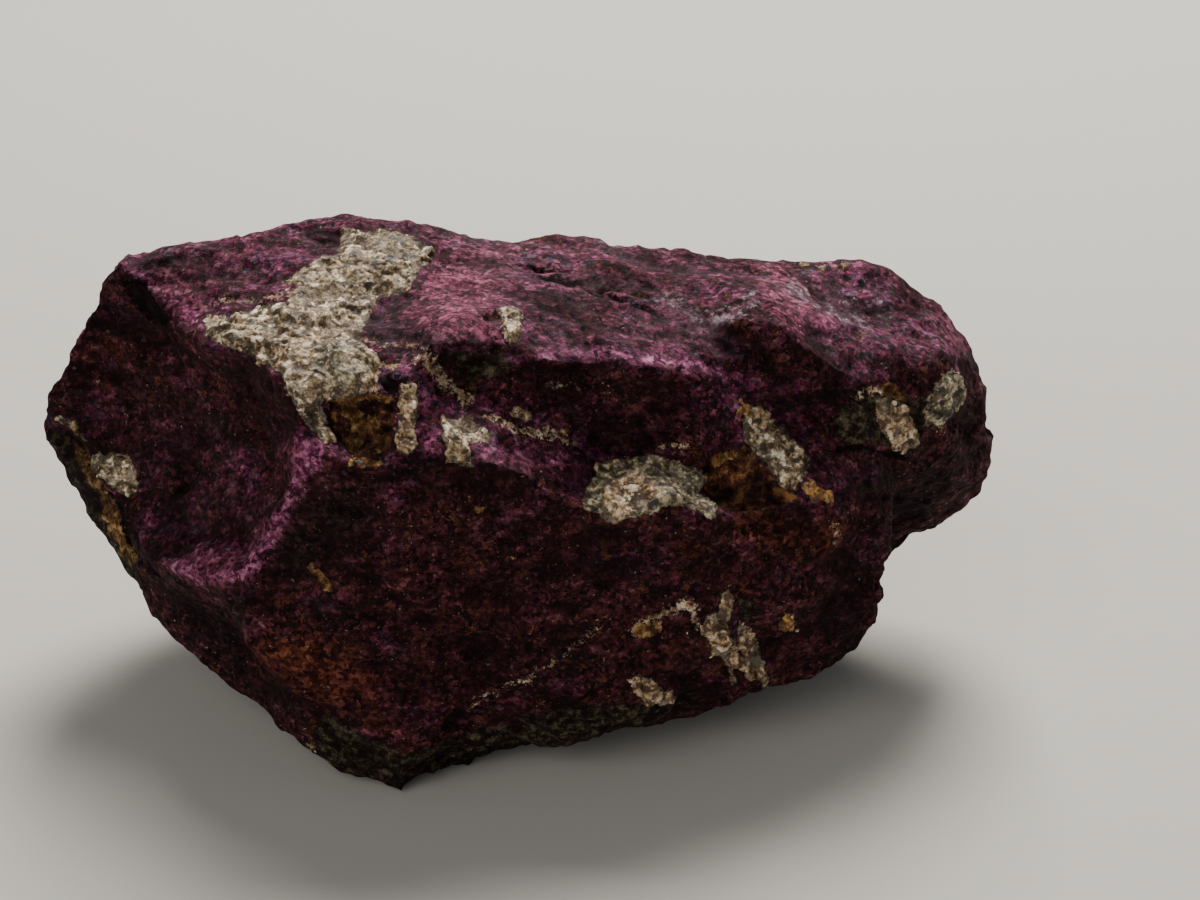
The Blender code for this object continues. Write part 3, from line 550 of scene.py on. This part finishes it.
COATS = (
    # markings over the purple, the lowest first: layers, how much and by which pattern the edge
    # is frayed, where the cover starts and is full, strength, and the colours along a pattern
    # pink: dusty pink of the mineral, and painted highlight on the scoop's lip and the shelf
    ("pink", 1.8, "ragged", 0.25, 0.8, 0.8,
     "tone", ((0.43, "#2b111c"), (0.475, "#56273a"), (0.53, "#823f58"), (0.6, "#ad6a80"))),
    # painted highlight: pale magenta along ridges and edges
    ("painted_highlight", 2.4, "ragged", 0.35, 0.85, 0.7,
     "tone", ((0.42, "#471732"), (0.48, "#843a66"), (0.54, "#b46892"), (0.62, "#dfa9c4"))),
    # painted glints: silvery lilac
    ("painted_glint", 3.0, "ragged", 0.42, 0.78, 0.65,
     "fleck", ((0.42, "#5f4350"), (0.5, "#94798a"), (0.57, "#b5a3b2"), (0.64, "#e2d9e0"))),
    # painted shade, with some dark mineral, nearly black
    ("dark_and_painted_shade", 1.8, "ragged", 0.2, 0.95, 0.8,
     "tone", ((0.42, "#040404"), (0.52, "#14100e"), (0.62, "#332521"))),
    ("stain", 2.0, "ragged", 0.2, 0.95, 0.6,
     "tone", ((0.42, "#1c0a07"), (0.5, "#48200f"), (0.56, "#7a4126"), (0.62, "#96593c"))),
    ("olive", 2.0, "ragged", 0.4, 0.62, 0.92,
     "fleck", ((0.42, "#0d0c09"), (0.52, "#29251c"), (0.6, "#57503c"))),
    ("quartz cream nodule", 1.2, "ragged", 0.28, 0.46, 0.6, "fleck", ((0.45, "#0e0906"), (0.6, "#4a3522"))),
    ("rust", 1.8, "ragged", 0.42, 0.6, 1.0,
     "brassy", ((0.4, "#110907"), (0.46, "#341e17"), (0.53, "#5a3826"), (0.6, "#94693f"))),
    ("vein", 3.4, "crumbly", 0.48, 0.62, 1.0,
     "fleck", ((0.42, "#8b6f50"), (0.52, "#c3a884"), (0.6, "#efdfc6"))),
    ("tan", 1.6, "ragged", 0.47, 0.56, 0.85,
     "fleck", ((0.42, "#45301a"), (0.52, "#826138"), (0.6, "#bd9968"))),
    ("quartz cream nodule", 1.2, "ragged", 0.47, 0.55, 1.0,
     "fleck", ((0.4, "#443a2c"), (0.5, "#7b6e5a"), (0.6, "#b0a493"))),
    # painted shade in the low spots of the fine breakage
    ("painted_hollow_shade", 0.0, "ragged", 0.5, 0.85, 0.65, "fleck", ((0.0, "#0c0606"), (1.0, "#0c0606"))),
    ("black", 1.4, "ragged", 0.47, 0.56, 1.0, "fleck", ((0.45, "#050303"), (0.6, "#1a130e"))),
)
covers = {}
for names, fray, frayed_by, low, high, strength, pattern, stops in COATS:
    cover = 0.0
    for name in names.split():
        here = add(purple, "Attribute", output="Fac", attribute_name=name)
        cover = add(purple, "Math", {0: here, 1: cover}, operation="MAXIMUM")
    cover = summed(purple, -0.5 * fray, (cover, 1.0), (patterns[frayed_by], fray))
    covers[names] = add(purple, "MapRange", {"Value": cover, "From Min": low, "From Max": high})
    coat = add(purple, "ValToRGB", {"Fac": patterns[pattern]}, stops=stops)
    colour = laid_over(purple, colour, covers[names], strength, coat)

# Gloss and relief: satin on the cleavage, dull in the pockets and on broken ends
gloss = summed(purple, 0.0, (painted_sheen_and_gloss, 0.6), (patterns["streak"], 0.5))
gloss = add(purple, "MapRange", {"Value": gloss, "From Min": 0.2, "From Max": 0.9})
matte = add(purple, "Math", {0: covers["black"], 1: covers["rust"]}, operation="MAXIMUM")
matte = add(purple, "Math", {0: matte, 1: covers["olive"]}, operation="MAXIMUM")
rough = summed(purple, 0.9, (gloss, -0.42), (matte, 0.3))
rough = add(purple, "Clamp", {"Value": rough, "Min": 0.4, "Max": 0.95})
both_grains = add(purple, "VectorMath", {0: flakes, 1: grit_grains}, operation="ADD")
relief = summed(purple, 0.0, (patterns["streak"], 0.4), (patterns["speck"], 0.6))
shader = purple.nodes["Principled BSDF"]
purple.links.new(colour, shader.inputs["Base Color"])
purple.links.new(rough, shader.inputs["Roughness"])
normal = leaning(purple, both_grains, middle=1.0, lean=0.34, relief=relief, deep_mm=0.26)
purple.links.new(normal, shader.inputs["Normal"])
shader.inputs["Specular IOR Level"].default_value = 0.2
shader.inputs["Specular Tint"].default_value = linear("#e0b8d0")

stone_mesh.materials.clear()
stone_mesh.materials.append(purpurite)
stone = bpy.data.objects.new("stone_surface", stone_mesh)
bpy.context.scene.collection.objects.link(stone)
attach(stone, "root")
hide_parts("purpurite_stone")

# The pale grains: quartz, mica and feldspar grown into the purple mineral. Their surface
# is a mass of small flat-faced grains, and its ragged rim dips under the purple skin.
PALE_FROM = 0.3          # the skin is copied where a pale marking is stronger than this
LONG_EDGE = 0.13         # longer edges of the copy are split once more
GRAIN_SIZE = 0.55
GRAIN_TILT = 0.13        # how far a grain's flat face leans
GRAIN_HIGH = 0.1         # how far single grains stand out
KNOB_SIZE = 1.5          # knobs of several grains
KNOB_HIGH = 0.36
SUGAR_SIZE = 0.25
SUGAR_HIGH = 0.04
JOINT_WIDE = 0.22        # width of the joint between two grains, in grain sizes
LIFT = 0.24              # the grains stand this far over the skin, and their rim this far under it
DIP = 0.1
LIFT_FROM = 0.42
LIFT_FULL = 0.75
CUT = 0.4                # faces with less cover than this are cut away
RIM_FRAYS = ((1.0, 0.42), (0.38, 0.4))   # noises that fray the rim: millimetres and share
pale_layers = [pale_bm.verts.layers.float[kind] for kind in PALE]
for vert in pale_bm.verts:
    vert.tag = max(vert[layer] for layer in pale_layers) > PALE_FROM
purple_faces = [face for face in pale_bm.faces if not any(vert.tag for vert in face.verts)]
bmesh.ops.delete(pale_bm, geom=purple_faces, context="FACES")
bmesh.ops.subdivide_edges(pale_bm, edges=pale_bm.edges, cuts=1, use_grid_fill=True)
bmesh.ops.triangulate(pale_bm, faces=pale_bm.faces)
long_edges = [edge for edge in pale_bm.edges if edge.calc_length() > LONG_EDGE]
bmesh.ops.subdivide_edges(pale_bm, edges=long_edges, cuts=1, use_grid_fill=True)
bmesh.ops.triangulate(pale_bm, faces=pale_bm.faces)
pale_bm.normal_update()
tint = pale_bm.verts.layers.float.new("tint")
joint = pale_bm.verts.layers.float.new("joint")
cover = pale_bm.verts.layers.float.new("cover")
pale_layers = [pale_bm.verts.layers.float[kind] for kind in PALE]
pink = pale_bm.verts.layers.float["pink"]
moves = []
for vert in pale_bm.verts:
    spot = vert.co
    frayed = sum(share * noise.noise(spot / size) for size, share in RIM_FRAYS)
    vert[cover] = max(vert[layer] for layer in pale_layers) + frayed
    cell = spot / GRAIN_SIZE
    gaps, seeds = noise.voronoi(cell)[:2]
    facet = noise.noise_vector(seeds[0] * 7.1).dot(cell - seeds[0]) * GRAIN_TILT
    facet += GRAIN_HIGH * noise.noise(seeds[0] * 3.3) + KNOB_HIGH * noise.noise(spot / KNOB_SIZE)
    facet += SUGAR_HIGH * noise.noise(spot / SUGAR_SIZE)
    vert[tint] = noise.cell(seeds[0] * 9.7)
    vert[joint] = 1 - limited(gaps[1] - gaps[0], 0, JOINT_WIDE)
    rise = small_breaks(spot, vert[pink]) + wave(spot)
    rise += limited(vert[cover], LIFT_FROM, LIFT_FULL) * (LIFT + facet) - DIP
    moves.append(vert.normal * rise)
for vert, move in zip(pale_bm.verts, moves):
    vert.co += move
bare_faces = [face for face in pale_bm.faces if all(vert[cover] < CUT for vert in face.verts)]
bmesh.ops.delete(pale_bm, geom=bare_faces, context="FACES")
bmesh.ops.scale(pale_bm, vec=(MM, MM, MM), verts=pale_bm.verts)
pale_mesh = bpy.data.meshes.new("pale_grains")
pale_bm.to_mesh(pale_mesh)
pale_bm.free()
pale_mesh.shade_smooth()

# Quartz with feldspar and a little mica, broken across its grains. The eye gets sugary warm
# white and grey grains, glossy here and dull there, with brown in the joints and at the rim.
quartz_rock = bpy.data.materials.new("quartz_and_feldspar")
quartz_rock.use_nodes = True
rock = quartz_rock.node_tree
ROCK_FLECK_MM = 0.625
SUGAR_MM = 0.3448
FINE_SUGAR_MM = 0.1667
rock_origin = add(rock, "TexCoord", output="Object")
rock_mm = add(rock, "Mapping", {"Vector": rock_origin, "Scale": (1 / MM, 1 / MM, 1 / MM)})
rock_fleck = add(rock, "TexNoise", {"Vector": rock_mm, "Scale": 1 / ROCK_FLECK_MM, "Detail": 5,
                                    "Roughness": 0.75})
sugar = add(rock, "TexVoronoi", {"Vector": rock_mm, "Scale": 1 / SUGAR_MM}, "Color")
sugar_shade = add(rock, "SeparateColor", {"Color": sugar}, "Red")
sugar_gloss = add(rock, "SeparateColor", {"Color": sugar}, "Green")
fine_sugar = add(rock, "TexVoronoi", {"Vector": rock_mm, "Scale": 1 / FINE_SUGAR_MM}, "Color")
fine_shade = add(rock, "SeparateColor", {"Color": fine_sugar}, "Red")
grain_tint = add(rock, "Attribute", output="Fac", attribute_name="tint")
rock_tone = summed(rock, 0.0, (grain_tint, 0.06), (rock_fleck, 0.7), (sugar_shade, 0.14), (fine_shade, 0.1))
# pale quartz colours, whose near-white top stop is painted glints
silvery = add(rock, "ValToRGB", {"Fac": rock_tone},
              stops=((0.4, "#382a16"), (0.45, "#6a5437"), (0.5, "#9c8464"), (0.55, "#cdb593"),
                     (0.61, "#fdf4e4")))
greenish = add(rock, "ValToRGB", {"Fac": rock_tone},
               stops=((0.42, "#28261a"), (0.485, "#5f583f"), (0.55, "#8f8664"), (0.62, "#d2c8ac")))
tan = add(rock, "ValToRGB", {"Fac": rock_tone},
          stops=((0.38, "#3c2a16"), (0.48, "#7d6038"), (0.56, "#a3855a"), (0.64, "#d0b48c")))
greened = patches(rock, rock_mm, 1.8182, 6, 0.75, low=0.49, high=0.58)
tanned = patches(rock, rock_mm, 2.5, 6, 0.75, low=0.53, high=0.61)
crumbs = patches(rock, rock_mm, 0.7692, 5, 0.85, low=0.58, high=0.62)
rock_colour = laid_over(rock, silvery, greened, 0.75, greenish)
rock_colour = laid_over(rock, rock_colour, tanned, 0.75, tan)
OTHER_GRAINS = (
    # the grains other than quartz, and their colours along the tone
    ("nodule", ((0.4, "#241f13"), (0.45, "#4b412b"), (0.5, "#776a4e"), (0.56, "#a29475"), (0.63, "#d5cab0"))),
    ("cream", ((0.4, "#452f1b"), (0.45, "#7d5f40"), (0.5, "#ac8d68"), (0.56, "#d0b794"), (0.63, "#f2e6cf"))),
    ("yellow", ((0.38, "#40240c"), (0.48, "#875618"), (0.6, "#cda04c"))),
)
quartz_here = add(rock, "Attribute", output="Fac", attribute_name="quartz")
for name, stops in OTHER_GRAINS:
    here = add(rock, "Attribute", output="Fac", attribute_name=name)
    ahead = summed(rock, -0.6, (here, 1.0), (quartz_here, -0.4), (rock_fleck, 1.2))
    ahead = add(rock, "MapRange", {"Value": ahead, "From Min": 0.3, "From Max": 0.6})
    coat = add(rock, "ValToRGB", {"Fac": rock_tone}, stops=stops)
    rock_colour = laid_over(rock, rock_colour, ahead, 1.0, coat)
joint_here = add(rock, "Attribute", output="Fac", attribute_name="joint")
rock_colour = laid_over(rock, rock_colour, joint_here, 0.18, linear("#3a2d1e"))
rock_colour = laid_over(rock, rock_colour, crumbs, 0.5, linear("#6a4326"))
cover_here = add(rock, "Attribute", output="Fac", attribute_name="cover")
rim = add(rock, "MapRange", {"Value": cover_here, "From Min": 0.62, "From Max": 0.42})
rim_brown = add(rock, "ValToRGB", {"Fac": rock_fleck}, stops=((0.42, "#22150f"), (0.6, "#5e4031")))
rock_colour = laid_over(rock, rock_colour, rim, 1.0, rim_brown)
rock_shader = rock.nodes["Principled BSDF"]
rock.links.new(rock_colour, rock_shader.inputs["Base Color"])
rock.links.new(summed(rock, 0.24, (sugar_gloss, 0.42)), rock_shader.inputs["Roughness"])
rock_normal = leaning(rock, sugar, middle=0.5, lean=0.32, relief=rock_fleck, deep_mm=0.2)
rock.links.new(rock_normal, rock_shader.inputs["Normal"])

pale_mesh.materials.append(quartz_rock)
pale_grains = bpy.data.objects.new("pale_grains", pale_mesh)
bpy.context.scene.collection.objects.link(pale_grains)
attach(pale_grains, "root")

# Floor and studio light: a pale floor, a wide soft light above and behind the stone,
# which leaves its front in half shadow, and a weak fill from the front.
FLOOR_HALF = 1.5         # metres from the floor's middle to its edge
LAMPS = (
    # name, place and size in metres, and power in watts
    ("key", (0.05, 0.30, 0.42), 0.24, 5.4),
    ("fill", (-0.25, -0.45, 0.35), 0.5, 1.8),
)
LAMP_COLOUR = (1.0, 0.94, 0.87)
LAMP_AIM = Vector((0, 0, 0.012))
floor_mesh = bpy.data.meshes.new("floor")
floor_bm = bmesh.new()
bmesh.ops.create_grid(floor_bm, x_segments=1, y_segments=1, size=FLOOR_HALF)
floor_bm.to_mesh(floor_mesh)
floor_bm.free()
floor = bpy.data.objects.new("floor", floor_mesh)
bpy.context.scene.collection.objects.link(floor)
floor_paint = bpy.data.materials.new("floor")
floor_paint.use_nodes = True
floor_shader = floor_paint.node_tree.nodes["Principled BSDF"]
floor_shader.inputs["Base Color"].default_value = linear("#b9b8b3")
floor_shader.inputs["Roughness"].default_value = 0.8
floor_mesh.materials.append(floor_paint)
for name, spot, size, power in LAMPS:
    lamp = bpy.data.lights.new(name, "AREA")
    lamp.size = size
    lamp.energy = power
    lamp.color = LAMP_COLOUR
    holder = bpy.data.objects.new(name, lamp)
    holder.location = spot
    holder.rotation_euler = (LAMP_AIM - Vector(spot)).to_track_quat("-Z", "Y").to_euler()
    bpy.context.scene.collection.objects.link(holder)
world = bpy.data.worlds.new("studio")
world.use_nodes = True
world.node_tree.nodes["Background"].inputs["Color"].default_value = linear("#c8ccd0")
world.node_tree.nodes["Background"].inputs["Strength"].default_value = 0.25
bpy.context.scene.world = world
